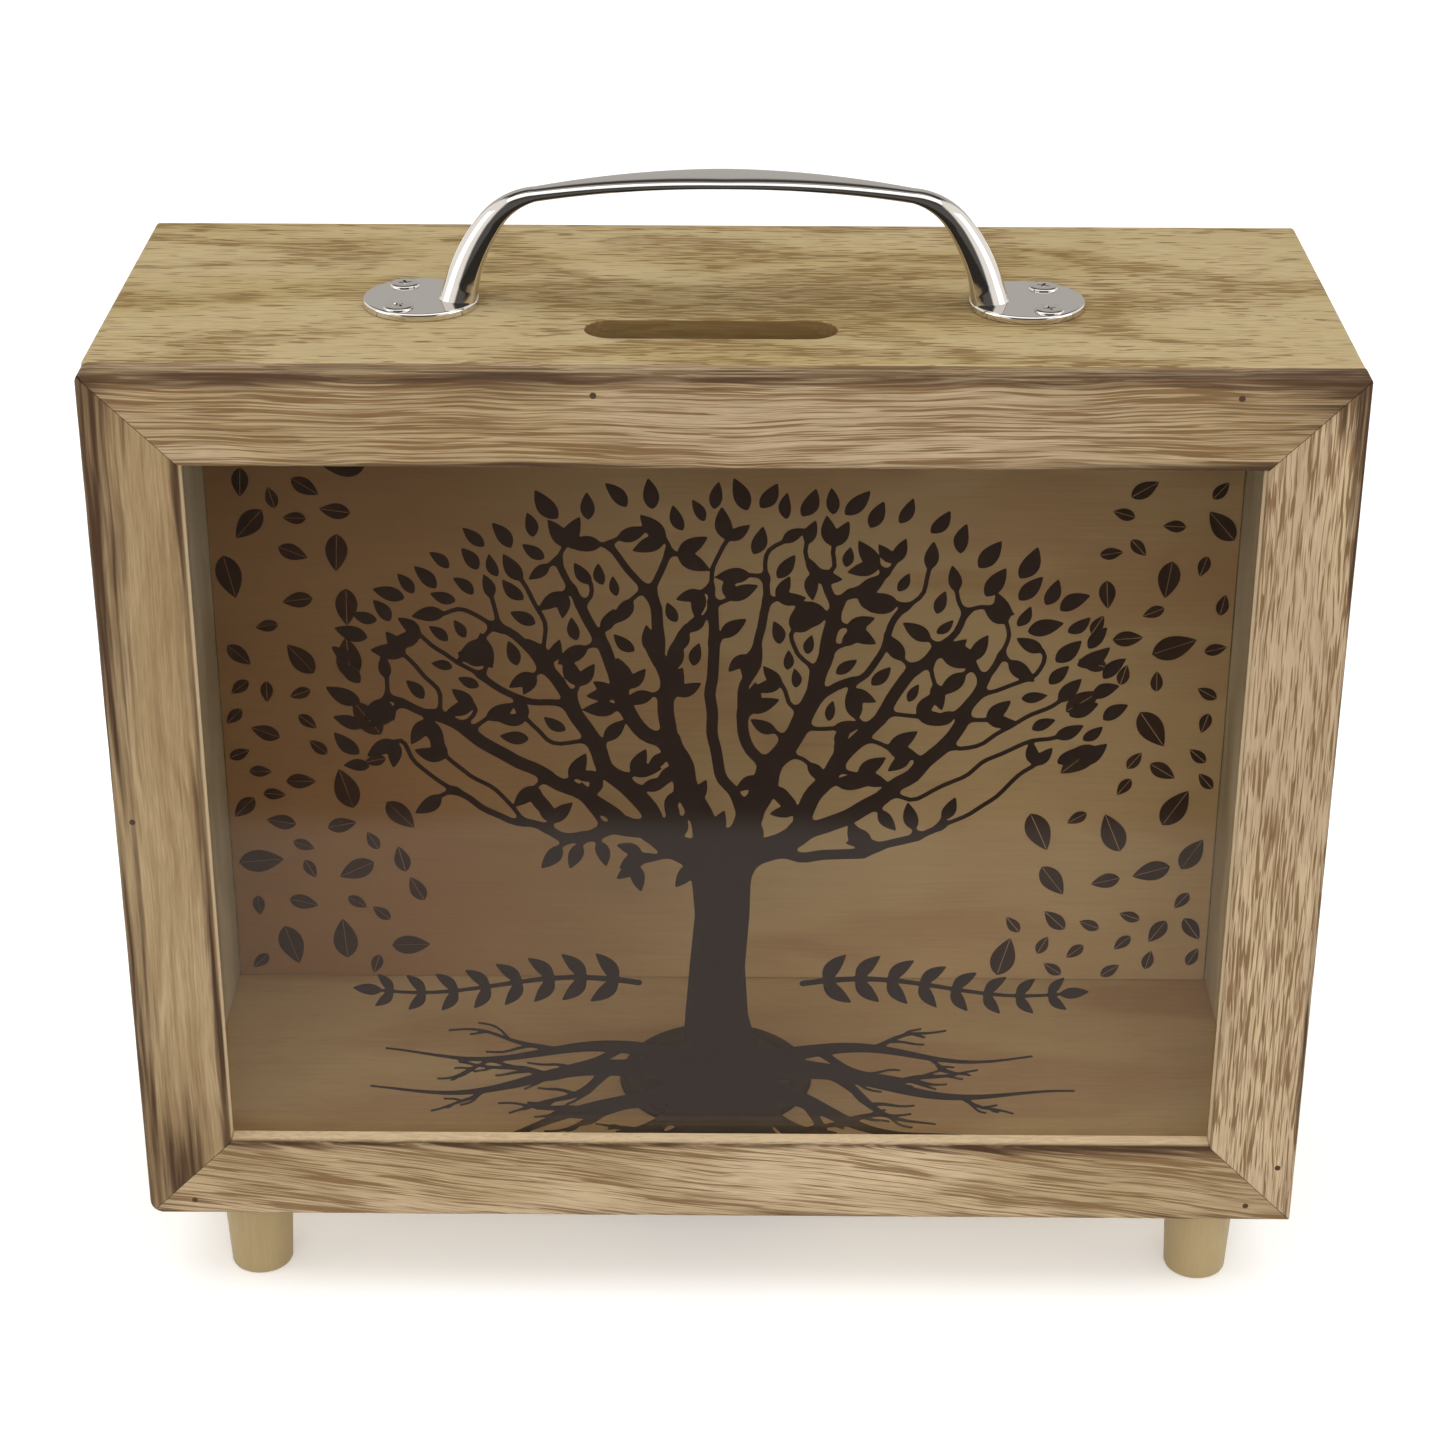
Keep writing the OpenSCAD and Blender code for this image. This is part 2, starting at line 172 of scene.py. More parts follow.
def wood(name, axes, seed, light, dark, *, tint=None, dash=(6.5, 0.75), hair=(9.0, 0.4), wave=2.0,
         figure=(0.009, 0.04), sparse=0.62, dense=0.45, strength=0.8, veil=0.14, sweep=0.0,
         relief=1.0, burnt=None, lip=None, rough=0.62, vein=None, inner=None):
    """Streaked wood, in mm. axes are the letters of the axes along, across and through the grain.
    Short dark dashes follow the grain, and crowd together in zones that are bands of a slow noise.

    dash, hair: length and width of the wide and the fine dashes; wave: how far they wander
    figure: the zones' frequency along and across the grain; sweep: the grain's slope
    sparse, dense: the noise level for a dash outside and inside a zone; strength: how dark it is
    veil: how much a zone darkens between its dashes; relief: how much the fibres show
    vein: a thin dark line, as (run, slope, offset, start)
    inner: the face beyond a level through the grain, as (sign, level, colour, patches, a darker
    colour towards the low end of the grain)"""
    s = Shade(name)
    parts = s.parts(s.millimetres())
    plain = [parts["XYZ".index(a.upper())] for a in axes]
    u, v, w = (s.plus(part, shift * seed) for part, shift in zip(plain, (310.0, 170.0, 90.0)))

    def slow(along, over, rate, pace, detail=2.0):
        return s.noise(s.vec(s.mul(along, rate), s.mul(over, pace), s.mul(w, pace)), detail)

    def grain(length, width, turn, detail=1.0):
        place = s.vec(s.mad(u, 1 / length, turn), s.mul(bent, 1 / width), s.mul(w, 1 / width))
        return s.noise(place, detail)

    drift = slow(u, v, 0.022, 0.05)
    across, bent = (
        s.plus(s.plus(v, s.mad(drift, 2 * sway, -sway)), s.mul(u, sweep)) for sway in (11.0, wave)
    )
    ring = s.mul(s.math("PINGPONG", s.mul(slow(u, across, *figure, 1.0), 5.0), 0.5), 2.0)
    patch = slow(u, across, 0.014, 0.045)
    crowd = s.step(s.plus(s.mul(ring, 0.5), s.mad(patch, 1.6, -0.5)), 0.35, 0.75)
    if burnt:
        heat = s.attribute("burn")
        crowd = s.math("ADD", crowd, s.mul(heat, 0.8), clamp=True)
    level = s.mad(crowd, dense - sparse, sparse)
    first = s.step(s.math("SUBTRACT", grain(*dash, 0.0), level), -0.015, 0.07)
    second = s.step(s.math("SUBTRACT", grain(*hair, 31.0), level), -0.02, 0.07)
    streak = s.math("MAXIMUM", s.mul(first, strength), s.mul(second, 0.65 * strength))
    fibre = grain(30.0, 0.9, 57.0, 3.0)
    pore = grain(4.0, 0.28, 83.0)
    base = s.mix(s.step(patch, 0.42, 0.6), light, tint) if tint else light
    base = s.mix(s.mul(crowd, veil), base, dark)
    base = s.mix(s.mul(s.step(fibre, 0.45, 0.68), 0.18 * relief), base, dark)
    colour = s.mix(streak, base, dark)
    tone = s.plus(s.mad(pore, 0.5 * relief, 1 - 0.25 * relief), s.mad(fibre, 0.16, -0.08))
    colour = s.mix(1.0, colour, s.vec(tone, tone, tone), "MULTIPLY")
    if vein:
        run, slope, offset, start = vein
        gap = s.math("ABSOLUTE", s.math("SUBTRACT", plain[1], s.mad(plain[0], slope, offset)))
        dots = s.step(s.noise(s.vec(s.mul(u, 0.55), 0.0, 0.0), 1.0), 0.42, 0.6)
        line = s.mul(s.mul(s.step(gap, 0.34, 0.08), dots), s.step(plain[0], start, start + run))
        colour = s.mix(s.mul(line, 0.75), colour, srgb(84, 60, 36))
    if burnt:
        scorch = s.plus(heat, s.plus(s.mad(fibre, 2.4, -1.2), s.mad(patch, 1.6, -0.8)))
        scorch = s.mul(s.step(scorch, 0.1, 1.2), s.step(heat, 0.0, 0.25))
        colour = s.mix(scorch, colour, burnt)
    if inner:
        sign, limit, paint, patched, low_end_colour = inner
        within = s.step(s.mul(plain[2], sign), limit - 0.05, limit)
        paint = s.mix(s.mul(s.step(patch, 0.42, 0.62), 0.6), paint, patched)
        if low_end_colour:
            # the face turns darker towards the low end of the grain, from a place that wanders with
            # the patches
            reach = s.mad(patch, 60.0, -30.0)
            paint = s.mix(s.mul(s.step(s.plus(plain[0], reach), 5.0, -65.0), 0.9), paint, low_end_colour)
        paint = s.mix(s.mul(streak, 0.12), s.mix(s.mul(fibre, 0.15), paint, dark), dark)
        colour = s.mix(within, colour, paint)
    if lip:
        colour = s.mix(s.attribute("lip"), colour, s.mix(s.mul(streak, 0.25), lip, dark))
    colour = s.mix(s.mul(s.attribute("cut"), 0.85), colour, s.mix(fibre, srgb(118, 94, 60), dark))
    height = s.plus(s.mul(streak, -0.5), s.plus(s.mul(pore, 0.8), s.mul(fibre, 0.6)))
    return s.surface(s.principled(
        Base_Color=colour,
        Roughness=s.plus(s.mad(streak, 0.12, rough - 0.06), s.mad(pore, 0.1, -0.05)),
        Specular_IOR_Level=0.3,
        Normal=s.bump(height, 0.35, 0.1 * MM),
    ))


# ---- Mesh helpers ----


def link(name, data):
    obj = bpy.data.objects.new(name, data)
    scene.collection.objects.link(obj)
    return obj


def paint(data, material):
    data.materials.clear()
    data.materials.append(material)


def add_piece(name, mesh, material, body, node=None):
    obj = link(name, mesh)
    paint(mesh, material)
    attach(obj, body)
    if node:
        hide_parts(node)
    return obj


def even_normals(obj):
    obj.data.shade_smooth()
    modifier = obj.modifiers.new("normals", "WEIGHTED_NORMAL")
    modifier.weight, modifier.keep_sharp = 100, True


def smooth_to(obj, degrees):
    """Smooth shading, with sharp edges where faces turn by more than degrees."""
    obj.data.shade_smooth()
    obj.data.set_sharp_from_angle(angle=radians(degrees))


def evaluated_mesh(obj):
    bpy.context.view_layer.update()
    return bpy.data.meshes.new_from_object(
        obj.evaluated_get(bpy.context.evaluated_depsgraph_get())
    )


def mesh_of(bm, name):
    mesh = bpy.data.meshes.new(name)
    bm.to_mesh(mesh)
    bm.free()
    return mesh


def clean(mesh, merge=None, floor=None):
    """Joins points within merge of each other, cuts off what is below floor, and turns the faces
    outwards."""
    bm = bmesh.new()
    bm.from_mesh(mesh)
    if merge:
        bmesh.ops.remove_doubles(bm, verts=bm.verts, dist=merge)
    if floor is not None:
        cut = bmesh.ops.bisect_plane(
            bm, geom=bm.verts[:] + bm.edges[:] + bm.faces[:], plane_co=floor, plane_no=(0, 0, 1),
            clear_inner=True,
        )["geom_cut"]
        bmesh.ops.holes_fill(bm, edges=[e for e in cut if isinstance(e, bmesh.types.BMEdge)])
    bmesh.ops.recalc_face_normals(bm, faces=bm.faces)
    bm.to_mesh(mesh)
    bm.free()


def mesh_from(name, points, faces, merge=1e-7):
    mesh = bpy.data.meshes.new(name)
    mesh.from_pydata([tuple(p) for p in points], [], faces)
    clean(mesh, merge)
    return mesh


def tube_faces(rings, sides, first=0):
    """Quads between rings of points, and a face over each end."""
    faces = []
    for i in range(first, first + (rings - 1) * sides, sides):
        for j in range(sides):
            n = (j + 1) % sides
            faces.append((i + j, i + n, i + sides + n, i + sides + j))
    ends = (first, first + (rings - 1) * sides)
    return faces + [[end + j for j in range(sides)] for end in ends]


def float_attribute(mesh, name, values):
    layer = mesh.attributes.new(name, "FLOAT", "POINT")
    layer.data.foreach_set("value", np.asarray(values, np.float32))


def lathe(name, profile, centre, segments=96):
    """A closed solid of revolution about the vertical through centre; profile is [(r, z), ...]."""
    cx, cy, cz = centre
    points, faces, rows = [], [], []
    for r, z in profile:
        if r < 1e-9:
            rows.append([len(points)])
            points.append((cx, cy, cz + z))
            continue
        rows.append(list(range(len(points), len(points) + segments)))
        for k in range(segments):
            a = 2 * pi * k / segments
            points.append((cx + r * cos(a), cy + r * sin(a), cz + z))
    for a, b in zip(rows, rows[1:]):
        for k in range(segments):
            n = (k + 1) % segments
            quad = [a[k % len(a)], a[n % len(a)], b[n % len(b)], b[k % len(b)]]
            face = list(dict.fromkeys(quad))
            if len(face) > 2:
                faces.append(face)
    return mesh_from(name, points, faces)


def arc(cx, cy, r, start, end, steps=6):
    """Points on a circle from one angle to another, in degrees."""
    angles = [radians(start + (end - start) * k / steps) for k in range(steps + 1)]
    return [(cx + r * cos(a), cy + r * sin(a)) for a in angles]


def rounded_box_loop(x0, y0, x1, y1, r):
    return (
        arc(x1 - r, y0 + r, r, -90, 0) + arc(x1 - r, y1 - r, r, 0, 90)
        + arc(x0 + r, y1 - r, r, 90, 180) + arc(x0 + r, y0 + r, r, 180, 270)
    )


def loop_normals(loop):
    """Outward unit normals of a counter-clockwise loop."""
    out = []
    for k, p in enumerate(loop):
        a, b = loop[k - 1], loop[(k + 1) % len(loop)]
        dx, dy = b[0] - a[0], b[1] - a[1]
        length = hypot(dx, dy) or 1.0
        out.append((dy / length, -dx / length))
    return out


def board_mesh(name, lo, hi, flat_axes, r_edge, holes=()):
    """A board with rounded edges. flat_axes are the two axes of its broad faces. A hole is a
    counter-clockwise loop of points on those axes, and the radius that rounds its rims."""
    a, b = flat_axes
    c = 3 - a - b
    outer = rounded_box_loop(lo[a], lo[b], hi[a], hi[b], r_edge + 0.05 * MM)
    steps = 4
    bm = bmesh.new()
    rims = ([], [])
    inside = set()
    for loop, radius, side in [(outer, r_edge, -1)] + [(h, r, 1) for h, r in holes]:
        normals = loop_normals(loop)
        rows = []
        for end in (0, 1):
            for k in range(steps + 1):
                t = (k if end else steps - k) / steps
                move = side * radius * (1 - cos(t * pi / 2))
                rise = radius * (1 - sin(t * pi / 2))
                row = []
                for (x, y), (nx, ny) in zip(loop, normals):
                    p = [0.0, 0.0, 0.0]
                    p[a], p[b] = x + nx * move, y + ny * move
                    p[c] = hi[c] - rise if end else lo[c] + rise
                    row.append(bm.verts.new(p))
                rows.append(row)
                if side > 0 and rise > 0.35 * radius:
                    inside.update(row)
        for r0, r1 in zip(rows, rows[1:]):
            for k in range(len(loop)):
                n = (k + 1) % len(loop)
                bm.faces.new((r0[k], r0[n], r1[n], r1[k]))
        for end, row in ((0, rows[0]), (1, rows[-1])):
            rims[end].append(row)
    for rows in rims:
        if len(rows) == 1:
            bm.faces.new(rows[0])
        else:
            edges = [bm.edges.get((row[k - 1], row[k])) for row in rows for k in range(len(row))]
            bmesh.ops.triangle_fill(bm, use_beauty=True, use_dissolve=False, edges=edges)
    bmesh.ops.recalc_face_normals(bm, faces=bm.faces)
    bm.verts.index_update()
    walls = [float(v in inside) for v in bm.verts]
    mesh = mesh_of(bm, name)
    float_attribute(mesh, "cut", walls)
    return mesh


# ---- Colours ----

PALE = srgb(181, 161, 119)
SAND = srgb(172, 151, 103)
OLIVE = srgb(116, 87, 40)
PINK = srgb(183, 160, 127)
ROSE = srgb(167, 146, 115)
BISQUE = srgb(170, 148, 118)
TAN = srgb(166, 144, 108)
DUN = srgb(150, 126, 90)
BROWN = srgb(106, 76, 38)
BURNT = srgb(70, 46, 24)
LIP = srgb(222, 196, 158)
INK = srgb(44, 30, 24)
INNER = srgb(220, 186, 138)
RUSSET = srgb(198, 152, 108)
UMBER = srgb(166, 122, 84)
WHITISH = srgb(236, 226, 200)

# ---- Camera ----

LENS = 78.44
CAM_PLACE = (1.81 * MM, -495.86 * MM, 341.35 * MM)
PITCH, YAW, ROLL = radians(26.362), radians(0.208), radians(0.212)


def make_camera():
    forward = Vector((
        -cos(PITCH) * sin(YAW), cos(PITCH) * cos(YAW), -sin(PITCH)
    ))
    level = Vector((cos(YAW), sin(YAW), 0.0))
    rise = level.cross(forward)
    right = level * cos(ROLL) + rise * sin(ROLL)
    up = rise * cos(ROLL) - level * sin(ROLL)
    data = bpy.data.cameras.new("camera")
    data.lens, data.sensor_width = LENS, 36.0
    data.clip_start, data.clip_end = 0.01, 20.0
    cam = link("camera", data)
    turn = Matrix((right, up, -forward)).transposed()
    cam.matrix_world = Matrix.Translation(CAM_PLACE) @ turn.to_4x4()
    scene.camera = cam


make_camera()

# ---- Case boards ----

rail_lo, rail_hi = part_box("frame_top_rail")
front_y = rail_lo.y
frame_t = rail_hi.y - rail_lo.y
rail_w = rail_hi.z - rail_lo.z
case_lo = Vector((cad_lo.x, cad_lo.y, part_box("bottom_board")[0].z))
case_hi = Vector((cad_hi.x, cad_hi.y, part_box("top_board")[1].z))
case_mid = (case_lo + case_hi) / 2


def make_boards():
    half, slot_y = (SLOT_LENGTH - SLOT_WIDTH) / 2, front_y + SLOT_FROM_FRONT
    slot = (arc(SLOT_SHIFT + half, slot_y, SLOT_WIDTH / 2, -90, 90, 20)
            + arc(SLOT_SHIFT - half, slot_y, SLOT_WIDTH / 2, 90, 270, 20))
    bung_lo, bung_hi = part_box("coin_bung")
    bung_mid = (bung_lo + bung_hi) / 2
    hole = arc(bung_mid.x, bung_mid.y, HOLE_RADIUS, 0, 360, 96)[:-1]
    just = 0.01
    inside = -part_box("right_side_board")[0].x / MM - just
    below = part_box("bottom_board")[1].z / MM - just
    ahead = -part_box("back_board")[0].y / MM - just
    vein_x, vein_y, vein_slope = 62.0, -3.0, -0.22
    side = {"wave": 0.8, "strength": 0.6}
    boards = (
        # node, wood, broad axes, edge radius in mm, holes, grain axes, what differs in the wood
        ("top_board", "top", (0, 1), 0.7, [(slot, 0.35 * MM)], "xyz",
         {"wave": 0.6, "dense": 0.48, "veil": 0.1,
          "vein": (3.0, vein_slope, vein_y - vein_slope * vein_x, vein_x)}),
        ("bottom_board", "floor", (0, 1), 0.5, [(hole, 0.3 * MM)], "xyz",
         {**side, "inner": (1.0, below, INNER, RUSSET, None)}),
        ("left_side_board", "left", (1, 2), 0.6, [], "zyx",
         {**side, "inner": (1.0, inside, WHITISH, PALE, None)}),
        ("right_side_board", "right", (1, 2), 0.6, [], "zyx",
         {**side, "inner": (-1.0, inside, WHITISH, PALE, None)}),
        ("back_board", "back", (0, 2), 0.4, [], "xzy",
         {"wave": 0.8, "strength": 0.5, "dash": (14.0, 0.6), "dense": 0.5,
          "inner": (-1.0, ahead, INNER, RUSSET, UMBER)}),
    )
    for number, (node, name, axes, radius, holes, grain, looks) in enumerate(boards):
        material = wood(name + "_wood", grain, 1.0 + number, PALE, OLIVE, tint=SAND, **looks)
        mesh = board_mesh(node + "_mesh", *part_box(node), axes, radius * MM, holes)
        even_normals(add_piece(node + "_wood", mesh, material, "box", node))


make_boards()

# ---- Front frame ----


def rail_profile(r_out, r_in):
    """A rail's section as (depth behind the face, distance in from the outer edge), all round."""
    lip = frame_t - GLASS_T
    small = 0.25 * MM
    shoulder = rail_w - REBATE_W
    face = [(0.0, r_out + (rail_w - r_out - r_in) * k / 10) for k in range(1, 10)]
    return (
        arc(r_out, r_out, r_out, 270, 180, 8)
        + face
        + arc(r_in, rail_w - r_in, r_in, 180, 90, 6)
        + [(r_in + (lip - r_in - small) * k / 3, rail_w) for k in (1, 2)]
        + arc(lip - small, rail_w - small, small, 90, 0, 2)
        + [(lip, shoulder), (frame_t, shoulder)]
        + [(frame_t, shoulder * k / 3) for k in (2, 1)]
        + arc(frame_t - small, small, small, 0, -90, 2)
    )


def make_rail(node, side, seed, radii, corner_r, heat, material):
    """side is the angle of the rail's outward direction, 90 for the top. radii(t) gives the outer
    and inner arris radius at t from -1 to 1 along the rail; corner_r rounds the outer corners.
    heat(t, distance in, depth), in mm, is how scorched a place is."""
    horizontal = side in (90, 270)
    length = (case_hi.x - case_lo.x) if horizontal else (case_hi.z - case_lo.z)
    reach = (case_hi.z - case_lo.z) / 2 if horizontal else (case_hi.x - case_lo.x) / 2
    angle = radians(side)
    out = Vector((cos(angle), 0.0, sin(angle)))
    along = Vector((abs(sin(angle)), 0.0, abs(cos(angle))))
    centre = Vector((case_mid.x, front_y, case_mid.z))
    stations = sorted(
        {round(copysign(1 - (1 - abs(t)) ** 1.5, t), 6) for t in np.linspace(-1, 1, 121)}
        | {round(copysign(1 - k * 0.003, e), 6) for k in range(8) for e in (-1, 1)}
    )
    points, burns, lips = [], [], []
    for t in stations:
        wobble = noise.noise(Vector((t * 9.0 + seed, seed * 1.7, 0.3)))
        r_out, r_in = radii(t)
        profile = rail_profile(r_out * (1 + 0.25 * wobble), r_in * (1 + 0.2 * wobble))
        for depth, inward in profile:
            run = t * (length / 2 - inward - MITRE_GAP)
            e = length / 2 - abs(run)
            w = inward
            r = corner_r[t >= 0]
            if r > 0 and e < r and w < r:
                dx, dy = r - e, r - w
                k = max(dx, dy) / hypot(dx, dy)
                e, w = r - dx * k, r - dy * k
            place = centre + along * copysign(length / 2 - e, t) + out * (reach - w)
            points.append(place + Vector((0.0, depth, 0.0)))
            burns.append(max(0.0, min(1.0, heat(run / (length / 2), inward / MM, depth / MM))))
            at_lip = inward > rail_w - 0.3 * MM
            lips.append(min(1.0, max(0.0, (depth / MM - 0.7) / 0.5)) if at_lip else 0.0)
    mesh = mesh_from(node + "_mesh", points, tube_faces(len(stations), len(profile)), None)
    float_attribute(mesh, "burn", burns)
    float_attribute(mesh, "lip", lips)
    even_normals(add_piece(node + "_wood", mesh, material, "box", node))


def bell(x, centre, width):
    return exp(-(((x - centre) / width) ** 2))


def heat_top(t, w, d):
    arris = bell(w, 0.5, 0.9) * bell(d, 0.5, 1.0)
    roof = bell(w, 0.0, 0.7) * 0.1
    under = bell(w, 15.0, 1.2) * bell(d, 0.0, 1.5) * (0.5 + 0.6 * bell(t, 0.85, 0.2))
    ends = bell(t, 1.0, 0.12) * 0.62 * bell(w, 3.0, 8.0) + bell(t, -1.0, 0.05) * 0.4
    return 0.75 * arris + roof + under + ends + bell(w, 1.0, 4.0) * 0.15


def heat_bottom(t, w, d):
    arris = bell(w, 0.3, 1.2) * 0.35
    ramp = max(0.0, min(1.0, (t - 0.1) / 0.7))
    inner = bell(w, 14.9, 0.55 + 0.8 * ramp) * bell(d, 0.0, 0.9) * (0.8 + 0.5 * ramp)
    return arris + inner + bell(t, -0.97, 0.04) * 0.3 * bell(w, 6.0, 8.0)


def heat_left(t, w, d):
    edge = bell(w, 0.0, 3.2 + 4.0 * bell(t, 1.0, 0.6)) * (0.85 + 0.4 * bell(t, -1.0, 0.25))
    low = bell(t, -1.0, 0.25) * bell(w, 2.0, 9.0) * 1.7
    high = bell(t, 1.0, 0.3) * bell(w, 1.0, 6.0) * 0.7
    inner = bell(w, 14.6, 0.8) * bell(d, 0.0, 1.0) * 0.9
    return edge + low + high + inner


def heat_right(t, w, d):
    edge = bell(w, 0.0, 1.2) * (0.55 + 0.5 * bell(t, 0.85, 0.35))
    high = bell(t, 1.0, 0.12) * bell(w, 2.0, 6.0) * 0.6
    return edge + high + bell(w, 15.0, 0.7) * bell(d, 0.0, 0.9) * 0.25


def make_frame():
    """t runs from -1 at the left or low end of a rail to 1 at the other."""
    common = {"burnt": BURNT, "lip": LIP}
    top = wood("rail_top_wood", "xzy", 11.0, ROSE, BROWN, tint=TAN, dash=(18.0, 0.36),
               hair=(20.0, 0.22), wave=2.5, figure=(0.008, 0.07), dense=0.51, sparse=0.55,
               strength=0.85, **common)
    low = wood("rail_low_wood", "xzy", 12.0, PINK, BROWN, tint=TAN, dash=(15.0, 0.38),
               hair=(16.0, 0.25), figure=(0.008, 0.07), sweep=0.13, dense=0.5, sparse=0.59,
               **common)
    left = wood("stile_left_wood", "zxy", 13.0, DUN, BROWN, tint=TAN, dash=(60.0, 1.2),
                hair=(45.0, 0.5), wave=1.0, figure=(0.004, 0.12), strength=0.34, dense=0.5,
                **common)
    right = wood("stile_right_wood", "zxy", 14.0, BISQUE, BROWN, tint=PINK, dash=(8.0, 0.42),
                 hair=(8.0, 0.28), wave=1.0, figure=(0.008, 0.08), dense=0.515, sparse=0.585,
                 strength=0.85, veil=0.08, **common)
    make_rail("frame_top_rail", 90, 1.0, lambda t: (1.15 * MM - 0.45 * MM * t, 0.5 * MM),
              (1.5 * MM, 0.4 * MM), heat_top, top)
    make_rail("frame_bottom_rail", 270, 2.0, lambda t: (0.7 * MM - 0.2 * MM * t, 0.45 * MM),
              (2.4 * MM, 0.3 * MM), heat_bottom, low)
    make_rail("frame_left_stile", 180, 3.0, lambda t: (1.0 * MM, 0.9 * MM),
              (2.4 * MM, 1.5 * MM), heat_left, left)
    make_rail("frame_right_stile", 0, 4.0, lambda t: (0.5 * MM, 0.4 * MM),
              (0.3 * MM, 0.4 * MM), heat_right, right)


make_frame()

# ---- Glass ----


def make_glass():
    """Clear glass that lets the light through without the noise of a refracted shadow."""
    s = Shade("pane_glass")
    glass = s.principled(
        Base_Color=srgb(250, 252, 250), Transmission_Weight=1.0, IOR=1.5, Roughness=0.0
    )
    clear = s.add("BsdfTransparent", {"Color": (0.97, 0.98, 0.97, 1.0)})
    shadow = s.add("LightPath", out="Is Shadow Ray")
    mixed = s.add("MixShader", {0: shadow, 1: glass, 2: clear})
    paint(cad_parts["glass_pane"].data, s.surface(mixed))


make_glass()

# ---- Printed tree, on the back of the glass ----

PRINT_T = 0.1 * MM
PRINT_GAP = 0.06 * MM


class Field:
    """A distance field on a grid, in millimetres, from which closed outlines are traced."""

    def __init__(self, x0, y0, x1, y1, cell=0.25):
        self.x0, self.y0, self.cell = x0, y0, cell
        self.nx, self.ny = int((x1 - x0) / cell) + 1, int((y1 - y0) / cell) + 1
        self.d = np.full((self.ny, self.nx), 50.0)

    def window(self, x0, y0, x1, y1):
        i0 = max(0, int((x0 - self.x0) / self.cell))
        j0 = max(0, int((y0 - self.y0) / self.cell))
        i1 = min(self.nx, int((x1 - self.x0) / self.cell) + 2)
        j1 = min(self.ny, int((y1 - self.y0) / self.cell) + 2)
        if i0 >= i1 or j0 >= j1:
            return None
        xs = self.x0 + self.cell * np.arange(i0, i1)
        ys = self.y0 + self.cell * np.arange(j0, j1)
        return (slice(j0, j1), slice(i0, i1)), xs[None, :], ys[:, None]

    def join(self, where, d, soft):
        """The union with another field, with a fillet where soft is above 0."""
        old = self.d[where]
        if soft <= 0:
            self.d[where] = np.minimum(old, d)
            return
        h = np.clip(0.5 + 0.5 * (old - d) / soft, 0, 1)
        self.d[where] = old + (d - old) * h - soft * h * (1 - h)

    def chain(self, points, radii, soft=0.0):
        """A line of tapered round segments."""
        pad = max(radii) + 3.0
        px, py = [p[0] for p in points], [p[1] for p in points]
        found = self.window(min(px) - pad, min(py) - pad, max(px) + pad, max(py) + pad)
        if found is None:
            return
        where, xs, ys = found
        best = np.full((ys.shape[0], xs.shape[1]), 50.0)
        for (ax, ay), (bx, by), ra, rb in zip(points, points[1:], radii, radii[1:]):
            dx, dy = bx - ax, by - ay
            size = dx * dx + dy * dy or 1e-9
            t = np.clip(((xs - ax) * dx + (ys - ay) * dy) / size, 0, 1)
            gap = np.hypot(xs - ax - t * dx, ys - ay - t * dy) - (ra + (rb - ra) * t)
            best = np.minimum(best, gap)
        self.join(where, best, soft)

    def leaf(self, x, y, angle, length, width, bend=0.0, soft=0.0):
        """A pointed leaf whose stalk end is at (x, y)."""
        found = self.window(x - length - 1, y - length - 1, x + length + 1, y + length + 1)
        if found is None:
            return
        where, xs, ys = found
        c, s = cos(angle), sin(angle)
        u = (xs - x) * c + (ys - y) * s
        v = -(xs - x) * s + (ys - y) * c
        t = np.clip(u / length, 0, 1)
        v = v - bend * length * t * (1 - t) * 4
        half = width / 2 * np.sin(np.pi * t ** 0.78) ** 0.85
        inside = np.abs(v) - half
        ends = np.maximum(-u, u - length)
        d = np.where(ends > 0, np.hypot(np.maximum(ends, 0), v), inside)
        self.join(where, d * 0.8, soft)

    def at(self, x, y):
        i = min(self.nx - 1, max(0, round((x - self.x0) / self.cell)))
        j = min(self.ny - 1, max(0, round((y - self.y0) / self.cell)))
        return self.d[j, i]

    def outlines(self):
        """Closed loops where the distance is 0, traced cell by cell."""
        d = self.d.copy()
        d[0, :] = d[-1, :] = 1.0
        d[:, 0] = d[:, -1] = 1.0
        inside = d < 0
        code = (
            inside[:-1, :-1] * 1 + inside[:-1, 1:] * 2 + inside[1:, 1:] * 4 + inside[1:, :-1] * 8
        )
        links = {}
        # For each code, the cell edges (0 low, 1 right, 2 high, 3 left) that a line runs between.
        lines = ("", "30", "01", "31", "12", "3012", "02", "32", "23", "20", "0123", "21", "13",
                 "10", "03")
        for j, i in zip(*np.nonzero((code > 0) & (code < 15))):
            edges = (("h", i, j), ("v", i + 1, j), ("h", i, j + 1), ("v", i, j))
            line = lines[code[j, i]]
            for a, b in zip(line[::2], line[1::2]):
                links.setdefault(edges[int(a)], []).append(edges[int(b)])
        loops = []
        while links:
            start = next(iter(links))
            loop, key = [], start
            while key in links:
                loop.append(key)
                nxt = links[key].pop()
                if not links[key]:
                    del links[key]
                key = nxt
            loops.append([self.crossing(d, *k) for k in loop])
        return loops

    def crossing(self, d, kind, i, j):
        """Where the outline crosses a horizontal or vertical cell edge."""
        dx, dy = (1, 0) if kind == "h" else (0, 1)
        a, b = d[j, i], d[j + dy, i + dx]
        t = a / (a - b) if a != b else 0.5
        return self.x0 + self.cell * (i + dx * t), self.y0 + self.cell * (j + dy * t)


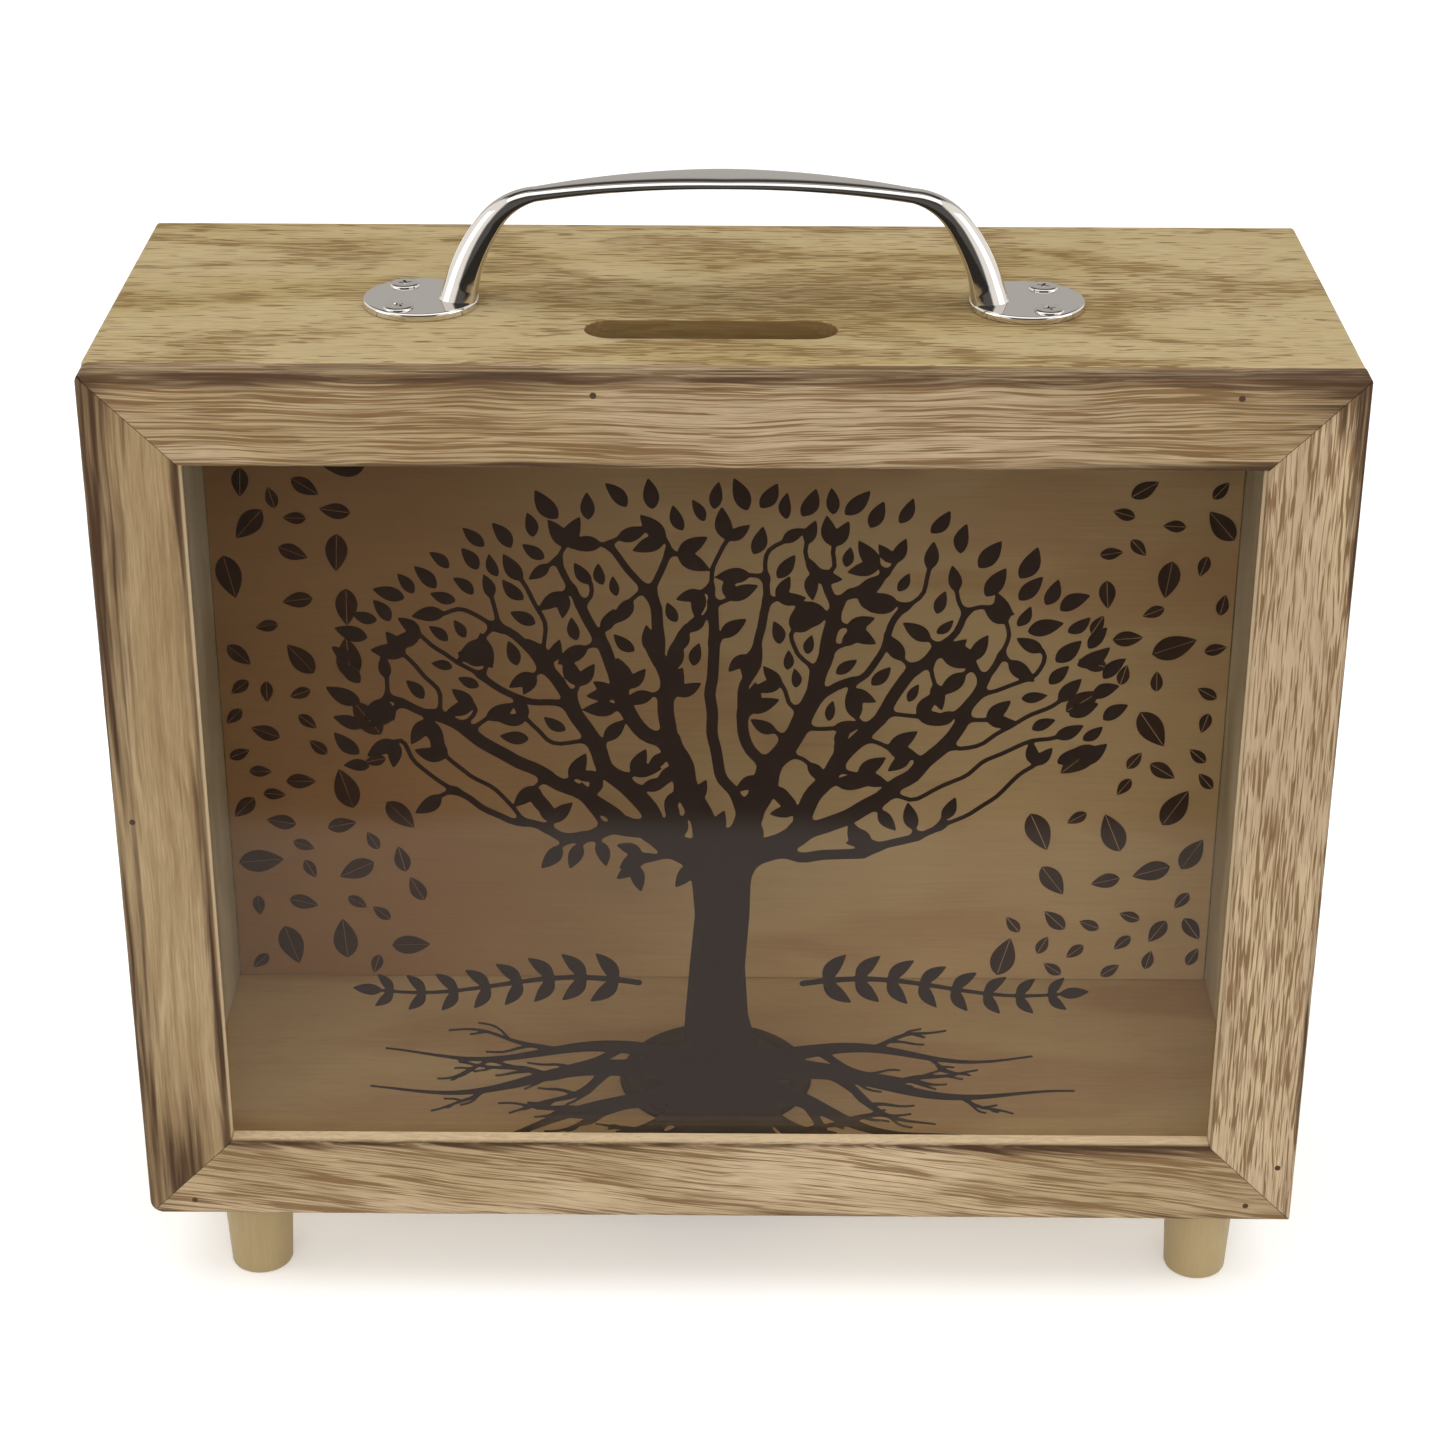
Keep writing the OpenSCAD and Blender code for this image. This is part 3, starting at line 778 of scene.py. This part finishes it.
def simplified(loop, tolerance):
    """The loop without the points that lie within tolerance of the line past them."""
    n = len(loop)
    if n < 8:
        return loop
    keep = [False] * n
    far = max(range(n), key=lambda k: dist(loop[k], loop[0]))
    keep[0] = keep[far] = True
    stack = [(0, far), (far, n)]
    pts = np.array(loop + [loop[0]])
    while stack:
        a, b = stack.pop()
        if b - a < 2:
            continue
        p, q = pts[a], pts[b]
        length = np.hypot(*(q - p)) or 1e-9
        gaps = np.abs(
            (q[0] - p[0]) * (pts[a + 1:b, 1] - p[1]) - (q[1] - p[1]) * (pts[a + 1:b, 0] - p[0])
        ) / length
        k = int(gaps.argmax())
        if gaps[k] > tolerance:
            keep[a + 1 + k] = True
            stack += [(a, a + 1 + k), (a + 1 + k, b)]
    return [p for p, k in zip(loop, keep) if k]


def loop_area(loop):
    return sum(a[0] * b[1] - b[0] * a[1] for a, b in zip(loop, loop[1:] + loop[:1])) / 2


def flat_print(name, loops, y, material):
    """Thin ink between the plane y and PRINT_T behind it, filled between its outlines."""
    curve = bpy.data.curves.new(name + "_outline", "CURVE")
    curve.dimensions, curve.fill_mode = "2D", "BOTH"
    curve.extrude = PRINT_T / 2
    for loop in loops:
        spline = curve.splines.new("POLY")
        spline.points.add(len(loop) - 1)
        for k, (px, pz) in enumerate(loop):
            spline.points[k].co = (px * MM, pz * MM, 0.0, 1.0)
        spline.use_cyclic_u = True
    shape = link(name + "_shape", curve)
    mesh = evaluated_mesh(shape)
    bpy.data.objects.remove(shape)
    mesh.transform(Matrix.Rotation(pi / 2, 4, "X"))
    mesh.transform(Matrix.Translation((0.0, y + PRINT_T / 2, 0.0)))
    clean(mesh, 1e-6)
    add_piece(name, mesh, material, "box")


def ink(name, colour, rough):
    s = Shade(name)
    mottle = s.cloud(0.5, 3.0)
    grain = s.noise(s.millimetres())
    tone = s.mix(mottle, colour, scaled(colour, 1.35))
    return s.surface(s.principled(
        Base_Color=tone, Roughness=s.mad(grain, 0.2, rough - 0.1), Specular_IOR_Level=0.15,
        Normal=s.bump(grain, 0.1, 0.02 * MM),
    ))


def smooth_line(points, rounds=2):
    for _ in range(rounds):
        points = [points[0]] + [
            ((a[0] + 2 * b[0] + c[0]) / 4, (a[1] + 2 * b[1] + c[1]) / 4)
            for a, b, c in zip(points, points[1:], points[2:])
        ] + [points[-1]]
    return points


# The tree is on the object's X and Z axes, in mm. The leaves leave the top of the pane clear.
CROWN_Z, CROWN_W, CROWN_H = 115.0, 59.0, 33.0   # middle, half width, half height
CROWN_TOP = 150.5
FORK = (0.0, 84.0)
TIP_R = 0.36
THINNING = 2.35   # a limb's radius to this power is the sum of its branches' radii to it


def grow_branches(rng):
    """Space colonisation: the points of a branching that fills the crown, and each one's parent."""
    targets = []
    for _ in range(5000):
        x, z = rng.uniform(-CROWN_W, CROWN_W), rng.uniform(80.0, 150.0)
        share = hypot(x / CROWN_W, (z - CROWN_Z) / CROWN_H)
        if share < 0.96 and z > 86.0 - 0.12 * abs(x) and all(
            dist((x, z), q) > 2.9 for q in targets
        ):
            targets.append((x, z))
    nodes, parents = [FORK], [-1]
    step, reach, kill = 1.4, 13.0, 2.2
    for spread, lean in ((-1.0, 0.75), (0.95, 0.7), (-0.35, 1.0), (0.42, 1.05)):
        at, last = FORK, 0
        for k in range(6):
            at = (at[0] + step * spread * (0.8 + 0.08 * k), at[1] + step * lean * (1 - 0.06 * k))
            nodes.append(at)
            parents.append(last)
            last = len(nodes) - 1
    live = list(targets)
    for _ in range(90):
        pull = {}
        pos = np.array(nodes)
        for q in live:
            gaps = np.hypot(pos[:, 0] - q[0], pos[:, 1] - q[1])
            k = int(gaps.argmin())
            if gaps[k] < reach:
                pull.setdefault(k, []).append((q[0] - nodes[k][0], q[1] - nodes[k][1]))
        if not pull:
            break
        for k, ways in pull.items():
            sway = 0.8 * max(1.0, 0.6 * len(ways))
            dx, dz = (
                sum(w[i] / hypot(*w) for w in ways) + rng.uniform(-sway, sway) for i in (0, 1)
            )
            size = hypot(dx, dz) or 1.0
            new = (nodes[k][0] + step * dx / size, nodes[k][1] + step * dz / size)
            if min(dist(new, n) for n in nodes) > 0.5 * step:
                nodes.append(new)
                parents.append(k)
        live = [q for q in live if min(dist(q, n) for n in nodes[-len(pull) - 1:]) > kill]
    return nodes, parents


def make_tree():
    rng = random.Random(41)
    area = Field(-88.5, 31.0, 88.5, 161.0)
    nodes, parents = grow_branches(rng)
    children = {k: [] for k in range(len(nodes))}
    for k, p in enumerate(parents):
        if p >= 0:
            children[p].append(k)
    thin = 0.4
    weight = [0.0] * len(nodes)
    for k in reversed(range(len(nodes))):
        weight[k] = max(thin ** THINNING, sum(weight[c] for c in children[k]))
    radius = [w ** (1 / THINNING) for w in weight]
    scale = 4.6 / radius[0]
    radius = [TIP_R + (r - thin) * scale for r in radius]
    tips, chains = [], []
    starts = [(0, c) for c in children[0]]
    while starts:
        root, k = starts.pop()
        line, sizes = [nodes[root]], [min(radius[root], radius[k] * 1.15)]
        while True:
            line.append(nodes[k])
            sizes.append(radius[k])
            if not children[k]:
                tips.append((nodes[k], line[-2]))
                break
            main = max(children[k], key=lambda c: radius[c])
            starts += [(k, c) for c in children[k] if c != main]
            k = main
        chains.append((smooth_line(line), sizes))
    for line, sizes in chains:
        area.chain(line, sizes, soft=1.1)
    trunk = [(0.6, 38.0), (0.3, 43.0), (-0.2, 49.0), (-0.7, 56.0), (-0.6, 66.0), (0.2, 76.0), FORK,
             (0.0, 88.0)]
    area.chain(trunk, [9.5, 8.6, 6.6, 5.4, 4.7, 4.6, 5.0, 3.4], soft=2.5)
    roots = (   # x, z, heading, radius, length
        (5.0, 45.0, -0.16, 2.4, 62.0), (5.5, 42.0, -0.42, 2.2, 46.0), (5.0, 40.0, -0.72, 2.0, 30.0),
        (3.0, 39.0, -1.15, 1.7, 16.0), (4.5, 47.5, -0.02, 1.8, 50.0),
    )
    for side in (-1, 1):
        for x, z, heading, size, length in roots:
            grow_root(area, rng, (side * x, z), side, heading + rng.uniform(-0.06, 0.06), size,
                      length * rng.uniform(0.9, 1.1), 2)
    sprig_line(area, rng, -1)
    sprig_line(area, rng, 1)
    for (x, z), (px, pz) in tips:
        angle = atan2(z - pz, x - px)
        for turn in (0.0, 0.95)[: 1 + rng.randrange(2)]:
            size = rng.uniform(4.2, 5.8)
            area.leaf(x, z, angle + turn + rng.uniform(-0.2, 0.2), size, size * 0.48,
                      rng.uniform(-0.05, 0.05), 0.3)
    for _ in range(14000):
        a = rng.uniform(-0.32, pi + 0.32)
        share = 0.2 + 0.92 * rng.random() ** 0.6
        x = CROWN_W * share * cos(a) * 0.95
        z = CROWN_Z + CROWN_H * share * sin(a)
        if not 77.0 < z < CROWN_TOP:
            continue
        angle = atan2((z - 88.0), x) + rng.uniform(-0.5, 0.5)
        size = rng.uniform(4.0, 6.2) * (1.0 if share > 0.9 else 0.85)
        mid = (x + cos(angle) * size / 2, z + sin(angle) * size / 2)
        end = (x + cos(angle) * size, z + sin(angle) * size)
        if area.at(x, z) > 0.7 and area.at(*mid) > size * 0.24 + 0.45 and area.at(*end) > 0.7:
            area.leaf(x, z, angle, size, size * rng.uniform(0.44, 0.52), rng.uniform(-0.08, 0.08))
    loops = [simplified(loop, 0.02) for loop in area.outlines()]
    loops = [loop for loop in loops if len(loop) > 4 and abs(loop_area(loop)) > 0.25]
    glass_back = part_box("glass_pane")[1].y
    flat_print("glass_tree_print", loops, glass_back + PRINT_GAP, ink("tree_ink", INK, 0.45))


def grow_root(area, rng, place, side, heading, size, length, forks):
    """A root that wanders outwards, levels off and tapers, with smaller ones leaving it."""
    steps = max(6, round(length / 1.4))
    x, z = place
    line, sizes, turns = [place], [size], []
    sway = rng.uniform(0, 6.28)
    for k in range(steps):
        t = (k + 1) / steps
        aim = heading * (1 - 0.8 * t) - 0.03 + 0.2 * sin(sway + 8.0 * t)
        turns.append(aim)
        x += side * length / steps * cos(aim)
        z += length / steps * sin(aim)
        line.append((x, z))
        sizes.append(0.18 + (size - 0.18) * (1 - t) ** 1.6)
    area.chain(smooth_line(line, 1), sizes, soft=0.4 * size)
    if forks:
        for t, way in ((0.25, -1), (0.45, 1), (0.66, -1)):
            k = int(t * steps)
            grow_root(area, rng, line[k], side, turns[k] + way * rng.uniform(0.5, 0.75),
                      sizes[k] * 0.7, length * (1 - t) * rng.uniform(0.45, 0.65), forks - 1)


def sprig_line(area, rng, side):
    """A stem with paired leaves beside the trunk, where a caption might go."""
    x0, x1 = side * 14.0, side * 58.0
    line = [(x0 + (x1 - x0) * t, 62.0 + 1.6 * sin(pi * t * 1.6 + 0.4)) for t in
            [k / 24 for k in range(25)]]
    area.chain(line, [0.55 - 0.3 * k / 24 for k in range(25)])
    for k in range(2, 24, 3):
        x, z = line[k]
        ahead = atan2(line[k + 1][1] - z, line[k + 1][0] - x)
        for up in (-1, 1):
            size = 6.6 - 0.1 * k
            area.leaf(x, z, ahead + side * up * 0.85, size, size * 0.42, 0.06 * up * side, 0.3)
    x, z = line[-1]
    area.leaf(x, z, atan2(z - line[-2][1], x - line[-2][0]), 5.0, 2.2)


make_tree()


# ---- Leaves printed on the back board ----


def split_leaf(x, z, angle, length, width, slit=0.17):
    """The two halves of a leaf, either side of its midrib."""
    c, s = cos(angle), sin(angle)
    halves = []
    for side in (-1, 1):
        rim = [(length * k / 12, side * width / 2 * sin(pi * (k / 12) ** 0.8) ** 0.85)
               for k in range(13)]
        rib = [(u, side * min(slit / 2, abs(v) * 0.5)) for u, v in rim[11:0:-1]]
        halves.append([(x + u * c - v * s, z + u * s + v * c) for u, v in rim + rib])
    return halves


def make_back_print():
    rng = random.Random(12)
    board_lo, board_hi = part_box("back_board")
    low, high = board_lo.z / MM + 0.5, board_hi.z / MM - 0.5
    edge = board_hi.x / MM - 0.8
    loops = []
    for side in (-1, 1):
        used = []
        for _ in range(2600):
            z = rng.uniform(low, high)
            depth = 25.0 + 16.0 * max(0.0, (92.0 - z) / 70.0)
            x = edge - depth * rng.random() ** 1.25
            size = rng.choice((4.2, 5.6, 7.4, 8.6))
            if any(dist((x, z), (ux, uz)) < 0.5 * (size + us) + 0.8 for ux, uz, us in used):
                continue
            angle = rng.uniform(0, 2 * pi)
            px, pz = x - size / 2 * cos(angle), z - size / 2 * sin(angle)
            leaf = split_leaf(px, pz, angle, size, size * 0.55)
            if all(abs(u) < edge and low < v < high for half in leaf for u, v in half):
                used.append((x, z, size))
                loops += [[(side * u, v) for u, v in half] for half in leaf]
    flat_print("back_leaf_print", loops, board_lo.y - PRINT_T - PRINT_GAP,
               ink("leaf_ink", srgb(70, 50, 40), 0.7))


make_back_print()

# ---- Handle ----


def metal(name, colour, rough):
    s = Shade(name)
    wave = s.noise(s.millimetres())
    fine = s.cloud(6.0, 2.0)
    tone = s.mix(s.mul(wave, 0.4), colour, scaled(colour, 0.9))
    height = s.plus(s.mul(wave, 0.6), s.mul(fine, 0.1))
    return s.surface(s.principled(
        Base_Color=tone, Metallic=1.0, Roughness=s.mad(fine, 0.06, rough - 0.03),
        Normal=s.bump(height, 0.06, 0.08 * MM),
    ))


# The bow's line from the middle of the grip outwards is three arcs and a straight leg, in mm and
# degrees. Its section has a width, a thickness and a squareness at each of their ends, and most of
# the thickness is on its outer side.
ARCS = ((175.0, 0.0, 10.0), (11.5, 10.0, 54.0), (32.0, 54.0, 75.0))   # radius, from, to
ARC_STEPS, LEG_STEPS = (24, 20, 14), 12
GRIP_RISE, LEG_END_Z = 21.3, -1.0
SECTION_W = (9.0, 4.6, 5.4, 7.2, 8.4)
SECTION_T = (1.5, 1.9, 4.0, 5.7, 6.5)
SECTION_N = (3.2, 2.6, 2.4, 2.4, 2.5)
INNER_N, INNER_SHARE, GRIP_TAPER = 2.2, 0.16, 1.3
DISC_T = 1.3


def half_path():
    """Stations (x, z, tilt, width, thickness, squareness) from the grip's middle outwards."""
    rows, x, z = [], 0.0, GRIP_RISE

    def station(x, z, tilt, k, f):
        width, thickness, squareness = (
            row[k] + (row[k + 1] - row[k]) * share
            for row, share in ((SECTION_W, f ** GRIP_TAPER if k == 0 else f), (SECTION_T, f),
                               (SECTION_N, f))
        )
        rows.append((x, z, radians(tilt), width, thickness, squareness))

    for k, ((r, start, end), steps) in enumerate(zip(ARCS, ARC_STEPS)):
        b = radians(start)
        for i in range(steps + 1):
            tilt = start + (end - start) * i / steps
            a = radians(tilt)
            place = (x + r * (sin(a) - sin(b)), z + r * (cos(a) - cos(b)))
            if i < steps:
                station(*place, tilt, k, i / steps)
        x, z = place
    slope = radians(end)
    run = (z - LEG_END_Z) / sin(slope)
    for i in range(LEG_STEPS + 1):
        f = i / LEG_STEPS
        station(x + f * run * cos(slope), z - f * run * sin(slope), end, 3, f)
    return rows


def bow_mesh(origin, sides=48):
    half = half_path()
    path = [(-x, z, -a, w, t, n) for x, z, a, w, t, n in reversed(half[1:])] + half
    points = []
    for x, z, tilt, w, t, n_out in path:
        for j in range(sides):
            a = 2 * pi * j / sides
            outer = sin(a) > -0.001
            n = n_out if outer else INNER_N
            across, rise = (
                copysign(abs(v) ** (2 / n), v) for v in (cos(a), sin(a))
            )
            depth = (1 - INNER_SHARE if outer else INNER_SHARE) * rise
            out = t * (depth - 0.5 + INNER_SHARE)
            place = (x + out * sin(tilt), w / 2 * across, z + out * cos(tilt))
            points.append(origin + Vector(place) * MM)
    mesh = mesh_from("bow_mesh", points, tube_faces(len(path), sides))
    clean(mesh, floor=origin + Vector((0, 0, 0.4 * MM)))
    return mesh


def make_handle():
    lo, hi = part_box("handle")
    centre = Vector(((lo.x + hi.x) / 2, (lo.y + hi.y) / 2, lo.z))
    disc_r = (hi.y - lo.y) / 2
    disc_t = DISC_T * MM
    chrome = metal("handle_chrome", srgb(226, 223, 219), 0.07)
    obj = add_piece("handle_chrome", bow_mesh(centre), chrome, "box", "handle")
    edge, chamfer = 0.45 * MM, 0.15 * MM
    profile = [(0.0, 0.0), (disc_r - chamfer, 0.0), (disc_r, chamfer)]
    profile += arc(disc_r - edge, disc_t - edge, edge, 0, 90) + [(0.0, disc_t)]
    for side in (-1, 1):
        place = (centre.x + side * ((hi.x - lo.x) / 2 - disc_r), centre.y, lo.z)
        apply_boolean(obj, link("disc", lathe("disc_mesh", profile, place, 128)), "UNION")
    even_normals(obj)
    obj.data.set_sharp_from_angle(angle=radians(38))
    screw_chrome = metal("screw_plating", srgb(220, 217, 212), 0.12)
    for end, turn in (("left_front", 40), ("left_back", 15), ("right_front", 20),
                      ("right_back", 70)):
        make_screw("handle_screw_" + end, turn, screw_chrome)


def make_screw(node, turn, material):
    """A cross-headed screw: a low rounded head above the disc, a shank below it. The profile is in
    mm below the top of the head."""
    lo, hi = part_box(node)
    centre = ((lo.x + hi.x) / 2, (lo.y + hi.y) / 2, hi.z)
    head = (hi.x - lo.x) / 2 / MM
    shank, length = 1.1, (hi.z - lo.z) / MM
    profile = [(0.0, -length), (shank, -length + 1.6), (shank, -1.9), (head - 0.35, -0.75),
               (head, -0.5), (head, -0.42)]
    profile += arc(head - 0.36, -0.42, 0.36, 0, 62)
    profile += [(head * f, -0.10 * f * f) for f in (0.75, 0.6, 0.4, 0.2)] + [(0.0, 0.0)]
    mesh = lathe(node + "_mesh", [(x * MM, z * MM) for x, z in profile], centre, 64)
    obj = add_piece(node + "_plated", mesh, material, "box", node)
    bm = bmesh.new()
    for quarter in (0, 90):
        spin = Matrix.Rotation(radians(turn + quarter), 4, "Z")
        for v in bmesh.ops.create_cube(bm, size=1.0)["verts"]:
            narrow = 1.0 if v.co.z > 0 else 0.55
            v.co = Vector((v.co.x * 2.7 * narrow, v.co.y * 0.62 * narrow, v.co.z * 1.1)) * MM
            v.co = Matrix.Translation(centre) @ spin @ v.co
    apply_boolean(obj, link("cross", mesh_of(bm, "cross")), "DIFFERENCE")
    smooth_to(obj, 32)


def apply_boolean(obj, other, operation):
    join = obj.modifiers.new("join", "BOOLEAN")
    join.operation, join.solver, join.object = operation, "EXACT", other
    join.use_self = True
    joined = evaluated_mesh(obj)
    obj.modifiers.clear()
    obj.data = joined
    bpy.data.objects.remove(other)


make_handle()

# ---- Feet, bung and nails ----


def make_feet():
    material = wood("foot_wood_look", "zxy", 21.0, srgb(163, 143, 103), srgb(134, 113, 76),
                    dash=(20.0, 1.0), strength=0.12, veil=0.15, relief=0.3, rough=0.5)
    for node in ("foot_front_left", "foot_front_right", "foot_back_left", "foot_back_right"):
        paint(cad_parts[node].data, material)


def rubber():
    s = Shade("bung_rubber_look")
    grit = s.cloud(3.0, 3.0)
    tone = s.mix(s.cloud(0.2, 3.0), srgb(62, 44, 34), srgb(84, 62, 48))
    return s.surface(s.principled(
        Base_Color=tone, Roughness=s.mad(grit, 0.25, 0.45), Normal=s.bump(grit, 0.25, 0.05 * MM)
    ))


def make_bung():
    lo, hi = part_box("coin_bung")
    flange = (hi.x - lo.x) / 2 / MM
    height = (hi.z - lo.z) / MM
    f = FLANGE_T / MM
    rib = HOLE_RADIUS / MM - 0.05
    waist = rib - 0.5
    hollow = 14.5
    profile = (
        [(0.0, 5.0), (3.0, 5.0), (3.4, 4.6), (hollow - 1.2, 4.6)]
        + arc(hollow - 1.0, 3.6, 1.0, 90, 0, 5)
        + [(hollow, 0.5)] + arc(hollow + 0.5, 0.5, 0.5, 180, 270, 4)
        + [(flange - 2.2, 0.0), (flange - 1.9, 0.22), (flange - 1.6, 0.0)]
        + arc(flange - 0.7, 0.7, 0.7, 270, 360, 6)
        + [(flange, f - 0.25), (flange - 0.25, f), (rib, f), (rib, f + 1.1), (waist, f + 1.7),
           (waist, height - 2.9), (rib, height - 2.3), (rib, height - 0.9)]
        + arc(rib - 0.9, height - 0.9, 0.9, 0, 90, 5)
        + [(rib - 2.6, height), (rib - 3.0, height - 0.3), (rib - 3.4, height), (0.0, height)]
    )
    mesh = lathe("bung_mesh", [(x * MM, z * MM) for x, z in profile],
                 ((lo.x + hi.x) / 2, (lo.y + hi.y) / 2, lo.z), 128)
    smooth_to(add_piece("coin_bung_rubber", mesh, rubber(), "bung", "coin_bung"), 50)


def make_nails():
    """Nails driven flush, their heads just proud of the wood."""
    s = Shade("nail_steel_look")
    speck = s.cloud(4.0, 3.0)
    tone = s.mix(speck, srgb(58, 42, 26), srgb(92, 72, 48))
    material = s.surface(s.principled(
        Base_Color=tone, Metallic=0.2, Roughness=s.mad(speck, 0.3, 0.45), Specular_IOR_Level=0.3,
    ))
    for node in ("frame_brads", "case_nails"):
        points, faces = [], []
        for part in loose_parts(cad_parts[node].data):
            add_nail(points, faces, part)
        mesh = mesh_from(node + "_mesh", points, faces)
        smooth_to(add_piece(node + "_steel", mesh, material, "box", node), 50)


def loose_parts(mesh):
    """The positions of the vertices of each connected part."""
    bm = bmesh.new()
    bm.from_mesh(mesh)
    bmesh.ops.remove_doubles(bm, verts=bm.verts, dist=1e-6)
    left, parts = set(bm.verts), []
    while left:
        stack, part = [left.pop()], []
        while stack:
            v = stack.pop()
            part.append(v.co.copy())
            near = left.intersection(e.other_vert(v) for e in v.link_edges)
            left -= near
            stack += near
        parts.append(part)
    bm.free()
    return parts


def add_nail(points, faces, part, sides=24):
    """A nail over the same extent as part, its head at the end nearest the case's outside."""
    lo = Vector((min(p[k] for p in part) for k in range(3)))
    hi = Vector((max(p[k] for p in part) for k in range(3)))
    axis = max(range(3), key=lambda k: hi[k] - lo[k])
    mid = (lo + hi) / 2
    outward = 1 if mid[axis] > case_mid[axis] else -1
    tip, head = (lo[axis], hi[axis]) if outward > 0 else (hi[axis], lo[axis])
    a, b = [k for k in range(3) if k != axis]
    r = (hi[a] - lo[a]) / 2
    shank = r * 0.62
    proud = 0.03 * MM
    rings = [(0.02 * MM, tip), (shank, tip + outward * 1.2 * MM),
             (shank, head - outward * 0.9 * MM), (r - 0.05 * MM, head - outward * 0.3 * MM),
             (r, head - outward * 0.1 * MM),
             (r * 0.42, head + outward * proud)]
    faces += tube_faces(len(rings), sides, len(points))
    for radius, level in rings:
        for x, y in arc(mid[a], mid[b], radius, 0, 360, sides)[:-1]:
            p = [level] * 3
            p[a], p[b] = x, y
            points.append(p)


make_feet()
make_bung()
make_nails()

# ---- Floor, world and lights ----


FLOOR_HALF = 4.0
LIGHTS = (   # name, place, height of the point it is aimed at, size, power
    ("key_top", (0.0, -0.25, 1.6), 0.1, (2.2, 1.2), 11.5),
    ("fill_front", (0.0, -1.7, 0.9), 0.1, (1.8, 0.9), 11.0),
    ("side_left", (-1.3, -0.3, 0.5), 0.15, (0.8, 1.0), 3.0),
    ("side_right", (1.3, -0.3, 0.5), 0.15, (0.8, 1.0), 3.0),
)


def make_stage():
    """A white floor that is clear from below, so that the underside can be looked at."""
    s = Shade("floor_white")
    tone = s.mix(s.cloud(0.01, 2.0), (0.90, 0.90, 0.90, 1.0), (0.93, 0.93, 0.925, 1.0))
    white = s.principled(
        Base_Color=tone, Roughness=0.9, Emission_Color=(1.0, 1.0, 1.0, 1.0), Emission_Strength=0.3,
    )
    under = s.add("NewGeometry", out="Backfacing")
    clear = s.add("BsdfTransparent")
    material = s.surface(s.add("MixShader", {0: under, 1: white, 2: clear}))
    bm = bmesh.new()
    bmesh.ops.create_grid(bm, x_segments=8, y_segments=8, size=FLOOR_HALF)
    floor = link("floor", mesh_of(bm, "floor_mesh"))
    paint(floor.data, material)


def add_flag():
    """A card on the floor in front, seen only in reflections: the glass mirrors the pale table near
    the box and the dark room beyond it."""
    s = Shade("flag_card")
    y = s.parts(s.millimetres())[1]
    tone = s.mix(s.step(y, -217.0, -199.0), (0.03, 0.026, 0.022, 1.0), (0.33, 0.308, 0.29, 1.0))
    corners = ((-1, -0.042), (1, -0.042), (1, -FLOOR_HALF), (-1, -FLOOR_HALF))
    mesh = bpy.data.meshes.new("flag_mesh")
    mesh.from_pydata([(side * FLOOR_HALF, y, MM) for side, y in corners], [], [(0, 1, 2, 3)])
    flag = link("flag", mesh)
    paint(mesh, s.surface(s.add("Emission", {"Color": tone, "Strength": 1.0})))
    flag.visible_camera = flag.visible_diffuse = flag.visible_shadow = False


def make_world():
    """Even light for matt surfaces. Mirrors see a studio: grey behind, a dark ceiling over it,
    bright sides and a dark front."""
    s = Shade("studio", "worlds")
    x, y, z = s.parts(s.add("TexCoord", out="Generated"))
    soft = s.mad(z, 0.2, 0.5)
    seen = s.mad(s.step(y, -0.35, 0.15), 0.40, 0.10)
    seen = s.mixf(s.mul(s.step(z, 0.42, 0.58), s.step(z, 0.86, 0.78)), seen, 0.06)
    seen = s.mixf(s.step(s.math("ABSOLUTE", x), 0.5, 0.62), seen, 1.0)
    glossy = s.add("LightPath", out="Is Glossy Ray")
    level = s.mixf(glossy, soft, seen)
    warm = s.mix(glossy, (1.0, 0.985, 0.96, 1.0), (1.0, 0.955, 0.90, 1.0))
    scene.world = s.surface(s.add("Background", {"Color": warm, "Strength": level}), "World")


def make_lights():
    for name, place, aim, size, power in LIGHTS:
        data = bpy.data.lights.new(name, "AREA")
        data.shape, data.energy = "RECTANGLE", power
        data.size, data.size_y = size
        light = link(name, data)
        light.location = place
        light.rotation_mode = "QUATERNION"
        light.rotation_quaternion = (Vector((0, 0, aim)) - Vector(place)).to_track_quat("-Z", "Y")
        light.visible_glossy = name != "fill_front"


make_stage()
add_flag()
make_world()
make_lights()
scene.view_settings.view_transform = "Standard"
